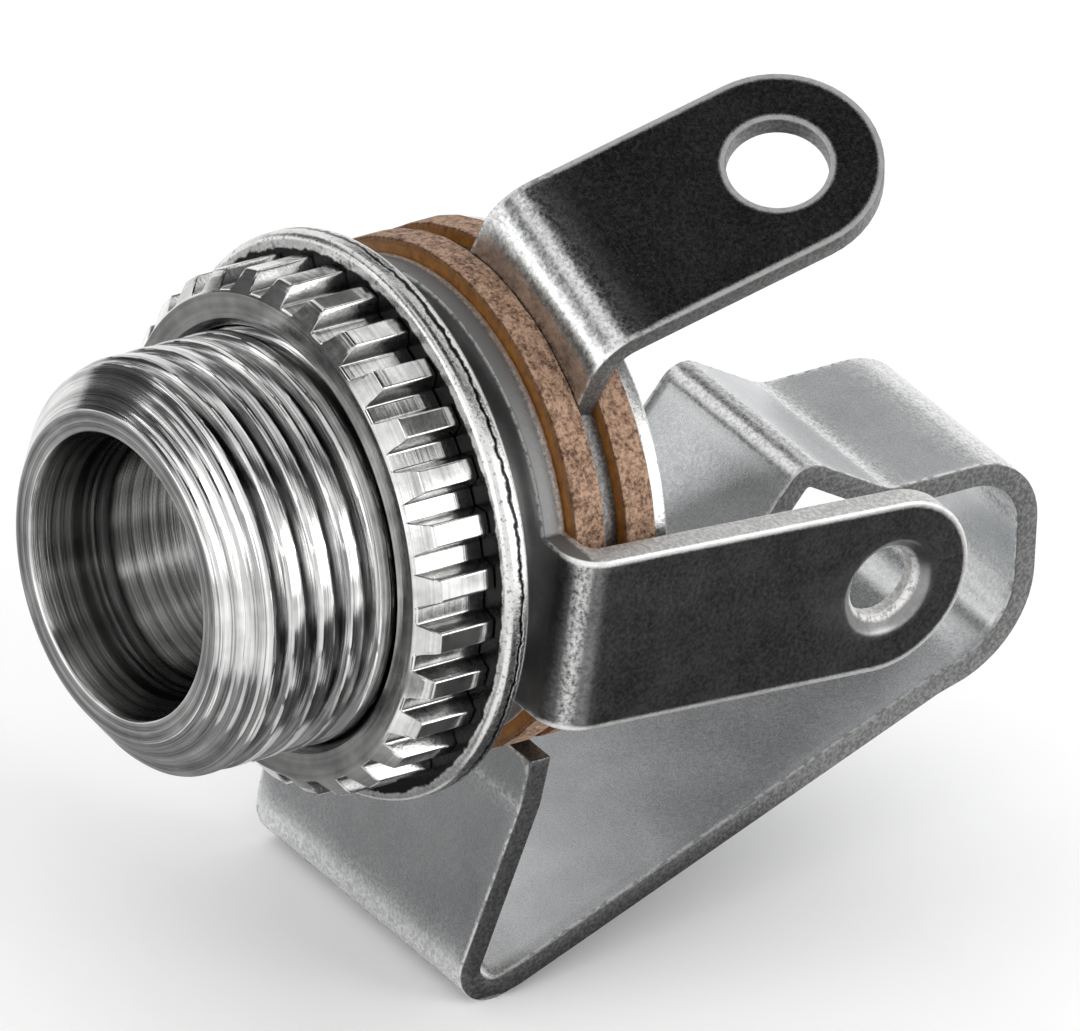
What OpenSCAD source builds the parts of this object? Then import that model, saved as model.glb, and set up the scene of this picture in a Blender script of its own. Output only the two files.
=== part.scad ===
// Open-frame 3.5 mm mono jack socket for a panel.
// The origin is on the plug axis, in the plane where the panel seats.
// The plug enters from -Y, the contacts stand behind the panel towards +Y, and +Z is up.

/* [Bushing] */
// Outside diameter of the thread
thread_d = 6; // [5.6:0.1:8]
// Length of the bushing in front of the panel seat
thread_l = 4.9; // [4.5:0.1:9]
// Pitch of the thread, which is drawn as rings and not as a helix
thread_pitch = 0.5; // [0.4:0.05:0.8]
// Depth of the thread on the radius
thread_depth = 0.27; // [0.2:0.01:0.3]
// Width of the bevel on the nose, along the axis
nose_bevel = 0.55; // [0.3:0.05:0.8]
// Radial depth of the bevel on the nose
nose_bevel_r = 0.6; // [0.3:0.05:0.6]
// Diameter of the plug bore
bore_d = 3.6; // [3.2:0.1:3.8]
// Widening of the bore at its mouth, on the radius
mouth_flare = 0.28; // [0.1:0.02:0.28]
// Length of the widened mouth
mouth_l = 1.2; // [0.5:0.1:2.5]
// Diameter of the rivet tube behind the panel seat
tube_d = 4.6; // [4.4:0.1:4.8]
// Width of the rolled lip that holds the stack, on the radius
lip_w = 0.55; // [0.3:0.05:0.8]
// Thickness of the rolled lip
lip_t = 0.3; // [0.2:0.05:0.5]
// Bevel on the rear end of the bore
rear_bevel = 0.15; // [0.05:0.05:0.2]
// Depth of the turned relief between the thread and the panel seat
relief_depth = 0.25; // [0.1:0.05:0.35]
// Length of the turned relief
relief_l = 0.5; // [0.3:0.1:0.8]

/* [Ring nut] */
// Wall of the nut, from the crests of the thread to the tops of the teeth
nut_wall = 0.8; // [0.7:0.05:2.5]
// Length of the nut
nut_l = 1.2; // [1:0.1:3]
// Number of teeth
tooth_count = 30; // [20:1:40]
// Depth of the valleys between the teeth
tooth_depth = 0.26; // [0.1:0.02:0.3]
// Turn of the nut at rest
nut_turn = 4; // [0:1:11]
// Share of the pitch that the top of a tooth takes
tooth_top = 0.4; // [0.3:0.05:0.5]
// Share of the pitch that the bottom of a valley takes
tooth_valley = 0.36; // [0.3:0.02:0.45]
// Width of the flat ring on the front of the nut
nut_face_w = 0.37; // [0.2:0.01:0.45]
// Slope of the cone that is turned on the front of the teeth
nut_cone_angle = 42; // [20:1:60]
// Radial gap between the nut and the crests of the thread
thread_gap = 0.03; // [0.01:0.01:0.1]
// Bevel at both ends of the nut's bore
nut_bore_bevel = 0.1; // [0.05:0.05:0.15]

/* [Front washer] */
// Width of the front washer's ring, on the radius
washer_w = 0.9; // [0.7:0.05:3]
// Thickness of the front washer
washer_t = 0.42; // [0.3:0.02:0.8]
// Radius of its rolled edges
washer_edge_r = 0.12; // [0.05:0.01:0.14]
// Radial gap between the washer and the thread
washer_gap = 0.2; // [0.1:0.05:0.3]
// Distance from the panel seat to the washer
panel_gap = 0.68; // [0.3:0.02:1.2]

/* [Sleeve frame] */
// Thickness of the frame's sheet
frame_t = 0.4; // [0.3:0.05:0.5]
// Diameter of the frame's ring
frame_d = 6.96; // [6.6:0.02:7.6]
// Gap between the insulators and the inside of the arm
arm_gap = 0.07; // [0.05:0.01:0.5]
// Inner radius of the arm's bend
arm_bend_r = 0.2; // [0.1:0.05:0.4]
// Height of the arm's upper edge at the bend
arm_root_top = 1.2; // [0.8:0.1:1.6]
// Depth of the arm's lower edge at the bend
arm_root_bottom = 1.6; // [1.2:0.1:1.8]
// Distance from the panel seat to the centre of the arm's round end
arm_reach = 5.58; // [4:0.02:9]
// Drop of the round end's centre below the plug axis
arm_drop = 0.54; // [0:0.02:1]
// Radius of the arm's round end
arm_end_r = 1.38; // [1.1:0.02:1.6]
// Diameter of the solder eye in the arm
arm_eye_d = 1.06; // [0.8:0.02:1.3]
// Width of the dished rim of that eye, on the radius
arm_dish_w = 0.22; // [0.1:0.02:0.3]
// Depth of the dished rim
arm_dish_t = 0.2; // [0.1:0.05:0.25]

/* [Insulators] */
// Diameter of both insulating washers
insulator_d = 7.46; // [7.2:0.02:8]
// Thickness of each insulating washer
insulator_t = 0.5; // [0.3:0.05:0.8]
// Wall of the insulating collar inside the tip contact
collar_wall = 0.35; // [0.2:0.05:0.45]
// Radial gap between the stacked pieces and what passes through them
stack_gap = 0.05; // [0.02:0.01:0.1]

/* [Rear washer] */
// Diameter of the rear washer
rear_d = 7.3; // [6.6:0.1:7.6]
// Thickness of the rear washer
rear_t = 0.25; // [0.15:0.05:0.5]

/* [Tip contact] */
// Thickness of the contact's sheet
contact_t = 0.35; // [0.25:0.05:0.45]
// Diameter of the contact's ring
contact_d = 7; // [6.8:0.1:7.4]
// Lean of the solder lug from vertical towards the arm
lug_turn = 19.5; // [0:0.5:40]
// Width of the solder lug
lug_w = 3; // [2.4:0.1:3.4]
// Height of the lug's bend above the plug axis
lug_rise = 4.53; // [4.3:0.01:6]
// Angle between the lug's blade and the plug axis
lug_slope = 20; // [0:1:45]
// Inner radius of the lug's bend
lug_bend_r = 0.45; // [0.2:0.05:0.6]
// Distance along the blade from the bend to the eye
lug_reach = 3.6; // [3:0.1:6]
// Diameter of the solder eye in the lug
lug_eye_d = 1.46; // [1:0.02:1.8]

/* [Spring strip] */
// Sideways offset of the strip away from the arm
strip_shift = 0.35; // [0:0.05:0.5]
// Width of the strip where it leaves the ring
strip_top_w = 6.1; // [5:0.1:6.4]
// Width of the strip at its bottom fold
strip_fold_w = 5; // [4:0.1:5.6]
// Width of the strip at its rear curl
strip_rear_w = 3.2; // [2.6:0.1:4]
// Width of the strip at the contact crest
strip_crest_w = 3.15; // [2.4:0.05:3.2]
// Forward lean of the strip's front wall
strip_lean = 9; // [0:0.5:10]
// Depth of the bottom fold below the plug axis
strip_drop = 7.35; // [6:0.05:9]
// Distance from the panel seat to the rear curl
strip_reach = 10.6; // [9:0.05:14]
// Rise of the strip's floor towards the rear
strip_slope = 16.8; // [8:0.2:20]
// Forward lean of the rear curl
curl_lean = 5; // [0:1:8]
// Depth of the strip's top run below the plug axis
strip_top_z = 1.33; // [1:0.01:2]
// Radius of the bottom fold, at the middle of the sheet
fold_r = 0.45; // [0.3:0.05:0.8]
// Radius of the lower rear curl, at the middle of the sheet
curl_r = 1.4; // [0.8:0.1:1.6]
// Radius of the upper rear curl, at the middle of the sheet
curl_top_r = 1.1; // [0.5:0.05:1.2]
// Distance from the rear curl forward to the contact crest
crest_back = 4.3; // [3.8:0.1:6]
// Height of the crest above the strip's top run
crest_h = 0.83; // [0.5:0.01:1]
// Slope of the strip behind the crest
crest_slope = 29; // [20:1:40]
// Slope of the lead-in flap in front of the crest
flap_slope = 55; // [40:1:65]
// Length of the lead-in flap
flap_l = 2.4; // [1:0.1:3]
// Radius of the contact crest, at the middle of the sheet
crest_r = 0.25; // [0.2:0.05:0.5]
// Radius of the valley behind the crest, at the middle of the sheet
valley_r = 0.9; // [0.4:0.1:1.5]
// Radius of the bend where the front wall starts to lean
lean_r = 1; // [0.5:0.1:2]
// Gap below the insulators before the front wall starts to lean
strip_clear = 0.2; // [0.1:0.05:0.5]

/* [Hidden] */
$fn = 96;

nickel = [0.78, 0.78, 0.76];
nickel_dark = [0.55, 0.55, 0.54];
bright_steel = [0.85, 0.85, 0.83];
brown_board = [0.52, 0.33, 0.17];

thread_r = thread_d / 2;
bore_r = bore_d / 2;
tube_r = tube_d / 2;
nut_r = thread_r + nut_wall;

// Stations of the stack along the axis, counted from the panel seat
front_insulator_y = frame_t;
contact_y = front_insulator_y + insulator_t;
rear_insulator_y = contact_y + contact_t;
rear_washer_y = rear_insulator_y + insulator_t;
lip_y = rear_washer_y + rear_t;

washer_y = -panel_gap - washer_t;
nut_y = washer_y - nut_l;

hole_r = tube_r + stack_gap;
collar_r = hole_r + collar_wall;
contact_hole_r = collar_r + stack_gap;
contact_mid_r = (contact_hole_r + contact_d / 2) / 2;
contact_mid_y = contact_y + contact_t / 2;

arm_x = insulator_d / 2 + arm_gap;
arm_bend_out = arm_bend_r + frame_t;

// Share of the pitch that is flat on each crest and in each groove of the thread
thread_flat = 0.14;
// Steps of each bend of a sheet, and how far a cutting body reaches past its work
bend_steps = 12;
cut = 1;

crest_y = strip_reach - crest_back;

// A point at a distance and an angle from another point
function polar(centre, r, a) = centre + r * [cos(a), sin(a)];
// Helpers for directions in a plane
function unit(v) = v / norm(v);
function left(v) = [-v[1], v[0]];
function cross2(a, b) = a[0] * b[1] - a[1] * b[0];

// The point where the straight line from p touches a circle; side is 1 or -1
function tangent_point(p, centre, r, side) =
    let (d = centre - p, a = atan2(d[1], d[0]), half = asin(r / norm(d)))
    p + norm(d) * cos(half) * [cos(a + side * half), sin(a + side * half)];

// One rounded corner of a path, as points along its arc
function corner(before, at, after, r) =
    let (u = unit(before - at), v = unit(after - at),
         half = acos(max(-1, min(1, u * v))) / 2,
         centre = at + unit(u + v) * r / sin(half),
         start = at + u * r / tan(half) - centre,
         turn = (180 - 2 * half) * sign(cross2(at - before, after - at)),
         a = atan2(start[1], start[0]))
    [for (i = [0:bend_steps]) polar(centre, r, a + turn * i / bend_steps)];

// A path with its inner points rounded
function rounded(points, radii) =
    let (last = len(points) - 1)
    concat([points[0]],
           [for (i = [1:last - 1])
                each corner(points[i - 1], points[i], points[i + 1], radii[i])],
           [points[last]]);

// The direction across a path at one of its points, scaled to keep the sheet's thickness
function across(path, i) =
    let (last = len(path) - 1,
         ahead = unit(path[min(i + 1, last)] - path[min(i, last - 1)]),
         behind = unit(path[max(i, 1)] - path[max(i, 1) - 1]),
         n = unit(left(ahead + behind)))
    n / (n * left(behind));

// A sheet of thickness t seen from the side, along the path of its middle line
module ribbon(path, t) {
    last = len(path) - 1;
    polygon(concat([for (i = [0:last]) path[i] + across(path, i) * t / 2],
                   [for (i = [last:-1:0]) path[i] - across(path, i) * t / 2]));
}

// Turns a drawing of (Y, Z) into a body of a given width along X
module along_x(w) {
    translate([-w / 2, 0, 0]) rotate([90, 0, 90]) linear_extrude(w) children();
}

// Turns a drawing of (X, Z) into a plate whose front face is at y
module along_y(y, t) {
    translate([0, y + t, 0]) rotate([90, 0, 0]) linear_extrude(t) children();
}

// Turns a half section of (radius, station) round the plug axis
module turned() {
    rotate([-90, 0, 0]) rotate_extrude() children();
}

// The grooves of the thread, as many as fit between the nose bevel and the relief
function thread_grooves() =
    let (length = thread_l - nose_bevel - relief_l,
         count = floor(length / thread_pitch),
         start = -relief_l - (length + count * thread_pitch) / 2,
         half_flat = thread_pitch * thread_flat / 2,
         bottom_r = thread_r - thread_depth)
    [for (i = [0:count - 1], step = [
        [thread_r, half_flat],
        [bottom_r, thread_pitch / 2 - half_flat],
        [bottom_r, thread_pitch / 2 + half_flat],
        [thread_r, thread_pitch - half_flat]
    ]) [step[0], start + i * thread_pitch + step[1]]];

module bushing() {
    back = lip_y + lip_t;
    core_r = thread_r - relief_depth;
    rim_r = tube_r + lip_w - lip_t / 2;
    color(nickel) turned() {
        polygon(concat([
            [bore_r + mouth_flare, -thread_l],
            [thread_r - nose_bevel_r, -thread_l],
            [thread_r, -thread_l + nose_bevel]
        ], thread_grooves(), [
            [thread_r, -relief_l],
            [core_r, -relief_l + relief_depth],
            [core_r, 0],
            [tube_r, 0],
            [tube_r, back],
            [bore_r + rear_bevel, back],
            [bore_r, back - rear_bevel],
            [bore_r, -thread_l + mouth_l]
        ]));
        translate([bore_r + rear_bevel, lip_y]) square([rim_r - bore_r - rear_bevel, lip_t]);
        translate([rim_r, lip_y + lip_t / 2]) circle(lip_t / 2);
    }
}

// The outline of the teeth: a flat top, a sloping flank, a flat valley and a flank back
module teeth_outline(r) {
    pitch = 360 / tooth_count;
    flank = (1 - tooth_top - tooth_valley) / 2;
    polygon([for (i = [0:tooth_count - 1], step = [
        [r, -tooth_top / 2],
        [r, tooth_top / 2],
        [r - tooth_depth, tooth_top / 2 + flank],
        [r - tooth_depth, 1 - tooth_top / 2 - flank]
    ]) polar([0, 0], step[0], nut_turn + pitch * (i + step[1]))]);
}

module ring_nut() {
    bore = thread_r + thread_gap;
    face_r = bore + nut_bore_bevel + nut_face_w;
    cone_l = (nut_r + cut - face_r) * tan(nut_cone_angle);
    color(nickel) difference() {
        along_y(nut_y, nut_l) teeth_outline(nut_r);
        turned() polygon([
            [0, nut_y - cut],
            [bore + nut_bore_bevel, nut_y - cut],
            [bore + nut_bore_bevel, nut_y],
            [bore, nut_y + nut_bore_bevel],
            [bore, nut_y + nut_l - nut_bore_bevel],
            [bore + nut_bore_bevel, nut_y + nut_l],
            [bore + nut_bore_bevel, nut_y + nut_l + cut],
            [0, nut_y + nut_l + cut]
        ]);
        turned() polygon([
            [face_r, nut_y],
            [nut_r + cut, nut_y + cone_l],
            [nut_r + cut, nut_y - cut],
            [face_r, nut_y - cut]
        ]);
    }
}

module front_washer() {
    inner = thread_r + washer_gap;
    rim = inner + washer_w - washer_edge_r;
    low = washer_y + washer_edge_r;
    high = washer_y + washer_t - washer_edge_r;
    color(bright_steel) turned() {
        translate([inner, washer_y]) square([rim - inner, washer_t]);
        translate([inner, low]) square([rim + washer_edge_r - inner, high - low]);
        for (y = [low, high]) translate([rim, y]) circle(washer_edge_r);
    }
}

module arm_outline() {
    end = [arm_reach, -arm_drop];
    high = [arm_bend_out, arm_root_top];
    low = [arm_bend_out, -arm_root_bottom];
    polygon([low, tangent_point(low, end, arm_end_r, -1), end,
             tangent_point(high, end, arm_end_r, 1), high]);
    translate(end) circle(arm_end_r);
}

module sleeve_frame() {
    root_h = arm_root_top + arm_root_bottom;
    bend_x = arm_x - arm_bend_r;
    eye = [arm_x, arm_reach, -arm_drop];
    color(nickel_dark) difference() {
        union() {
            along_y(0, frame_t) difference() {
                union() {
                    circle(frame_d / 2);
                    translate([0, -arm_root_bottom]) square([bend_x, root_h]);
                }
                circle(hole_r);
            }
            translate([bend_x, arm_bend_out, -arm_root_bottom]) rotate([0, 0, -90])
                rotate_extrude(angle = 90)
                    translate([arm_bend_r, 0]) square([frame_t, root_h]);
            translate([arm_x + frame_t / 2, 0, 0]) along_x(frame_t) arm_outline();
        }
        translate(eye) rotate([0, 90, 0]) {
            translate([0, 0, -cut]) cylinder(h = frame_t + 2 * cut, d = arm_eye_d);
            translate([0, 0, frame_t - arm_dish_t])
                cylinder(h = arm_dish_t, r1 = arm_eye_d / 2, r2 = arm_eye_d / 2 + arm_dish_w);
        }
    }
}

module insulator(y) {
    color(brown_board) along_y(y, insulator_t) difference() {
        circle(insulator_d / 2);
        circle(hole_r);
    }
}

module front_insulator() {
    insulator(front_insulator_y);
}

module rear_insulator() {
    insulator(rear_insulator_y);
}

module insulating_collar() {
    color(brown_board) along_y(contact_y, contact_t) difference() {
        circle(collar_r);
        circle(hole_r);
    }
}

module rear_washer() {
    color(bright_steel) along_y(rear_washer_y, rear_t) difference() {
        circle(rear_d / 2);
        circle(hole_r);
    }
}

// Puts its children on the blade: its outer face is z = 0, and y runs along it from the bend
module blade_frame() {
    translate([0, contact_y, lug_rise]) rotate([lug_slope, 0, 0]) children();
}

// The solder lug: up from the ring, round one bend and back along its blade
module solder_lug() {
    root = [contact_mid_y, contact_mid_r];
    bend = [contact_mid_y, lug_rise - contact_t / 2 * tan(45 - lug_slope / 2)];
    tip = polar(bend, lug_reach + lug_w, lug_slope);
    rotate([0, lug_turn, 0]) difference() {
        intersection() {
            along_x(lug_w)
                ribbon(rounded([root, bend, tip], [0, lug_bend_r + contact_t / 2, 0]), contact_t);
            blade_frame() translate([0, 0, -lug_rise]) linear_extrude(2 * lug_rise) {
                translate([-lug_w / 2, -lug_rise]) square([lug_w, lug_rise + lug_reach]);
                translate([0, lug_reach]) circle(lug_w / 2);
            }
        }
        blade_frame() translate([0, lug_reach, -contact_t - cut])
            cylinder(h = contact_t + 2 * cut, d = lug_eye_d);
    }
}

// The end of the lead-in flap, seen from the side as (Y, Z)
flap_end = [crest_y, crest_h - strip_top_z] - flap_l * [cos(flap_slope), sin(flap_slope)];

// The middle line of the spring strip, seen from the side as (Y, Z)
function strip_path() =
    let (lean_z = -insulator_d / 2 - strip_clear,
         fold = [contact_mid_y - (strip_drop + lean_z) * tan(strip_lean), -strip_drop],
         rear_low = [strip_reach, fold[1] + (strip_reach - fold[0]) * tan(strip_slope)],
         rear_high = [strip_reach + (rear_low[1] + strip_top_z) * tan(curl_lean), -strip_top_z],
         valley = [crest_y + crest_h / tan(crest_slope), -strip_top_z],
         crest = [crest_y, crest_h - strip_top_z])
    rounded([[contact_mid_y, -contact_mid_r], [contact_mid_y, lean_z], fold, rear_low,
             rear_high, valley, crest, flap_end],
            [0, lean_r, fold_r, curl_r, curl_top_r, valley_r, crest_r, 0]);

// One half of the strip's outline and its mirror image, as one closed outline
function both_sides(half) =
    let (last = len(half) - 1)
    concat(half, [for (i = [last:-1:0]) [-half[i][0], half[i][1]]]);

// The widths of the strip: its front wall, its floor and its top run
module strip_widths() {
    wall_y = contact_y + contact_t + fold_r;
    floor_y = wall_y - contact_t / 2;
    shoulder_z = -arm_root_bottom - contact_t / 2;
    split_z = flap_end[1] - contact_t;
    bottom_z = -strip_drop - cut;
    curl_y = strip_reach - curl_r;
    far = strip_reach + contact_t + cut;
    along_y(-cut, wall_y + cut) polygon(both_sides([
        [strip_top_w / 2, shoulder_z],
        [strip_fold_w / 2, -strip_drop + fold_r],
        [strip_fold_w / 2, bottom_z]]));
    translate([0, 0, bottom_z]) linear_extrude(split_z - bottom_z) polygon(both_sides([
        [strip_fold_w / 2, floor_y], [strip_rear_w / 2, curl_y], [strip_rear_w / 2, far]]));
    translate([0, 0, split_z]) linear_extrude(cut - split_z) polygon(both_sides([
        [strip_crest_w / 2, floor_y], [strip_crest_w / 2, crest_y],
        [strip_rear_w / 2, curl_y], [strip_rear_w / 2, far]]));
}

module spring_strip() {
    translate([-strip_shift, 0, 0]) intersection() {
        along_x(strip_top_w + cut) ribbon(strip_path(), contact_t);
        strip_widths();
    }
}

module tip_contact() {
    color(nickel) {
        along_y(contact_y, contact_t) difference() {
            circle(contact_d / 2);
            circle(contact_hole_r);
        }
        solder_lug();
        spring_strip();
    }
}

bushing();
ring_nut();
front_washer();
sleeve_frame();
front_insulator();
tip_contact();
insulating_collar();
rear_insulator();
rear_washer();
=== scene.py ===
# Looks of an open-frame 3.5 mm jack socket for a panel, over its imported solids.
# Meshes are worked out in millimetres and put into Blender in metres.
import math

import bmesh
import bpy
import numpy as np
from mathutils import Matrix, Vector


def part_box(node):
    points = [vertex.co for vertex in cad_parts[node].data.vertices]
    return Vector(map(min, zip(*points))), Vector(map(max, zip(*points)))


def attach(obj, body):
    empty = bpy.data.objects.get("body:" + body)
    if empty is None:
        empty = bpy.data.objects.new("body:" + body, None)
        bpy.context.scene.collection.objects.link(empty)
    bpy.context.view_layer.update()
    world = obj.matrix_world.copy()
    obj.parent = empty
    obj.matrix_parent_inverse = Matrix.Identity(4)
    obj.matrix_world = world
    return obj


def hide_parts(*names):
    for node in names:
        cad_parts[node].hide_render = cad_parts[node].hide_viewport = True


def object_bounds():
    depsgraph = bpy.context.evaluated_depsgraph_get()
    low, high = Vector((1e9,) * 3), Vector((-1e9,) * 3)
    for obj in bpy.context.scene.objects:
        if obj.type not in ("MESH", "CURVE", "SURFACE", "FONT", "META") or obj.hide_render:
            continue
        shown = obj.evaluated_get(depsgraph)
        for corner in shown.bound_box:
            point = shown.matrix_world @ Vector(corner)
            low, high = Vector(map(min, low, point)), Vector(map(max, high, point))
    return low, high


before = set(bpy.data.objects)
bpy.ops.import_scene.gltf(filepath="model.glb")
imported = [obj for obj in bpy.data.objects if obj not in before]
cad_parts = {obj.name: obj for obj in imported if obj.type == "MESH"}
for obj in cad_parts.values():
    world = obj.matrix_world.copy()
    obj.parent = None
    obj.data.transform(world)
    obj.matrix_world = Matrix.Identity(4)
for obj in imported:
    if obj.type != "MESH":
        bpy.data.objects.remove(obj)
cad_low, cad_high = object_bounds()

mm = 0.001

# Camera
# The photograph is a close-up taken from far away, so its parallel lines stay parallel.
# The lens is long enough to keep the front and the rear of the socket at one scale.
picture = np.array([1080, 1031])
seat_px = np.array([399.8, 500.1])
px_per_mm = 71.07
picture_right = np.array([0.578, 0.808, 0.114])
picture_up = np.array([-0.475, 0.220, 0.853])
middle_depth = -2.0

picture_right /= np.linalg.norm(picture_right)
picture_up -= picture_up @ picture_right * picture_right
picture_up /= np.linalg.norm(picture_up)
picture_back = np.cross(picture_right, picture_up)

camera = bpy.data.objects.new("camera", bpy.data.cameras.new("camera"))
camera.data.sensor_width = 36
camera.data.lens = 1500
camera_away = camera.data.lens / camera.data.sensor_width * picture[0] / px_per_mm
offset_mm = (picture / 2 - seat_px) / px_per_mm
camera_at = (picture_right * offset_mm[0] - picture_up * offset_mm[1]
             + picture_back * (middle_depth + camera_away))
camera.matrix_world = Matrix.Translation((camera_at * mm).tolist()) @ Matrix(
    np.column_stack([picture_right, picture_up, picture_back]).tolist()).to_4x4()
camera.data.clip_start = 0.05
camera.data.clip_end = 5
bpy.context.scene.collection.objects.link(camera)
bpy.context.scene.camera = camera


# Bushing
# A turned brass body with bright nickel plate: the plug bore, a 6 mm thread with 0.5 mm pitch,
# a relief behind the thread, and the thin tube that is rolled over to hold the stack.
def span(node):
    """Lowest and highest corner of a solid at rest, in millimetres."""
    low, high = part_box(node)
    return np.array(low) / mm, np.array(high) / mm


def rounded_outline(points, radii, steps=4):
    """A closed outline of (a, b) points with each corner swept by an arc of its own radius.

    An arc touches both sides at radius / tan(half the corner) from the corner, and its centre
    lies on the corner's bisector at radius / sin(half the corner)."""
    points = np.asarray(points, float)
    parts = []
    for before, at, after, radius in zip(np.roll(points, 1, 0), points, np.roll(points, -1, 0), radii):
        if radius == 0:
            parts.append(at[None])
            continue
        u = (before - at) / np.linalg.norm(before - at)
        v = (after - at) / np.linalg.norm(after - at)
        half = np.arccos(np.clip(u @ v, -1, 1)) / 2
        centre = at + (u + v) / np.linalg.norm(u + v) * radius / np.sin(half)
        start = at + u * radius / np.tan(half) - centre
        side = np.sign((at - before)[0] * (after - at)[1] - (at - before)[1] * (after - at)[0])
        turn = np.linspace(0, side * (np.pi - 2 * half), steps + 1)[:, None]
        parts.append(centre + start * np.cos(turn) + np.array([-start[1], start[0]]) * np.sin(turn))
    return np.concatenate(parts)


def walked(outline, step, closed=True):
    """The same outline with points added on its straight runs, none further apart than step.

    The step is one length, or one for the run that starts at each point."""
    ends = np.roll(outline, -1, 0) if closed else outline[1:]
    runs = []
    for a, b, longest in zip(outline, ends, np.broadcast_to(step, len(outline))):
        count = max(1, math.ceil(np.linalg.norm(b - a) / longest))
        runs.append(a + (b - a) * np.arange(count)[:, None] / count)
    return np.concatenate(runs if closed else runs + [outline[-1:]])


def turned_grid(outline, columns):
    """A closed outline of (radius, y) carried round the plug axis, as rows x columns x 3.

    The angle runs from +Z towards +X: x = r sin(angle), z = r cos(angle)."""
    angle = np.arange(columns) * 2 * np.pi / columns
    radius = np.repeat(outline[:, :1], columns, 1)
    return ring_points(radius, outline[:, 1:], angle)


def ring_points(radius, y, angle):
    """Points at a radius and an angle round the plug axis; y may be one column of stations."""
    y = np.broadcast_to(y, radius.shape)
    return np.stack([radius * np.sin(angle), y, radius * np.cos(angle)], -1)


def grid_faces(rows, columns, closed_rows=True, closed_columns=True):
    """Quads between each row and the next, and each column and the next."""
    r = np.arange(rows if closed_rows else rows - 1)[:, None]
    c = np.arange(columns if closed_columns else columns - 1)[None]
    r_next, c_next = (r + 1) % rows, (c + 1) % columns
    corners = [r * columns + c, r * columns + c_next, r_next * columns + c_next, r_next * columns + c]
    return np.stack([np.broadcast_to(k, (r.size, c.size)) for k in corners], -1).reshape(-1, 4)


def piece(name, points, faces, material, sharp=38, masks=()):
    """An object at the origin from points in millimetres; masks are (name, value for each point)."""
    mesh = bpy.data.meshes.new(name)
    mesh.from_pydata((np.asarray(points) * mm).tolist(), [], faces.tolist())
    for title, values in masks:
        mesh.attributes.new(title, "FLOAT", "POINT").data.foreach_set("value", values)
    mesh.polygons.foreach_set("use_smooth", np.ones(len(mesh.polygons), bool))
    mesh.update()
    mesh.set_sharp_from_angle(angle=math.radians(sharp))
    mesh.materials.append(material)
    made = bpy.data.objects.new(name, mesh)
    bpy.context.scene.collection.objects.link(made)
    return made


def outward(points, faces):
    """The faces, turned round if the closed shell that they make has a negative volume."""
    a, b, c, d = (points[faces[:, k]] for k in range(4))
    volume = np.sum(np.cross(a, b) * c) + np.sum(np.cross(a, c) * d)
    return faces if volume > 0 else faces[:, ::-1]


def add_node(tree, kind, settings=None, values=()):
    """One shader node with its settings; a value that is a socket is linked."""
    made = tree.nodes.new(kind)
    for name, value in (settings or {}).items():
        setattr(made, name, value)
    for key, value in values.items() if isinstance(values, dict) else enumerate(values):
        if isinstance(value, bpy.types.NodeSocket):
            tree.links.new(value, made.inputs[key])
        elif value is not None:
            made.inputs[key].default_value = value
    return made


def maths(tree, operation, *values):
    return add_node(tree, "ShaderNodeMath", {"operation": operation}, values).outputs[0]


def remap(tree, value, low, high, to_low=0.0, to_high=1.0):
    """A value moved from one range to another and held inside it."""
    return add_node(tree, "ShaderNodeMapRange", {}, [value, low, high, to_low, to_high]).outputs[0]


def blend_colour(tree, share, first, second):
    made = add_node(tree, "ShaderNodeMix", {"data_type": "RGBA"})
    for key, value in ((0, share), (6, first), (7, second)):
        if isinstance(value, bpy.types.NodeSocket):
            tree.links.new(value, made.inputs[key])
        else:
            made.inputs[key].default_value = value
    return made.outputs[2]


def noise(tree, vector, scale, detail=3.0, roughness=0.55):
    return add_node(tree, "ShaderNodeTexNoise", {},
                    {"Vector": vector, "Scale": scale, "Detail": detail, "Roughness": roughness}
                    ).outputs[0]


def effect(name, inputs, outputs):
    """An empty node group with float inputs (name, default) and named float outputs."""
    tree = bpy.data.node_groups.new(name, "ShaderNodeTree")
    tree.interface.new_socket("Vector", in_out="INPUT", socket_type="NodeSocketVector")
    for title, default in inputs:
        tree.interface.new_socket(title, in_out="INPUT", socket_type="NodeSocketFloat").default_value = default
    for title in outputs:
        tree.interface.new_socket(title, in_out="OUTPUT", socket_type="NodeSocketFloat")
    return tree, tree.nodes.new("NodeGroupInput").outputs, tree.nodes.new("NodeGroupOutput").inputs


def place(tree, group, values):
    made = tree.nodes.new("ShaderNodeGroup")
    made.node_tree = group
    for key, value in values.items():
        if isinstance(value, bpy.types.NodeSocket):
            tree.links.new(value, made.inputs[key])
        else:
            made.inputs[key].default_value = value
    return made.outputs


def new_material(name):
    """An empty material, with its shader and its object coordinates in millimetres."""
    made = bpy.data.materials.new(name)
    made.use_nodes = True
    tree = made.node_tree
    shader = tree.nodes["Principled BSDF"]
    place_of = tree.nodes.new("ShaderNodeTexCoord").outputs["Object"]
    coords = add_node(tree, "ShaderNodeVectorMath", {"operation": "SCALE"},
                      {"Vector": place_of, "Scale": 1 / mm}).outputs[0]
    return made, tree, shader, coords


def finish_metal(tree, shader, colour, rough, height, lift):
    """Links a metal's colour and roughness, and its height as a bump of lift metres."""
    shader.inputs["Metallic"].default_value = 1
    tree.links.new(colour, shader.inputs["Base Color"])
    tree.links.new(rough, shader.inputs["Roughness"])
    bump = add_node(tree, "ShaderNodeBump", {}, {"Strength": 1.0, "Distance": lift, "Height": height})
    tree.links.new(bump.outputs[0], shader.inputs["Normal"])


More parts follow.
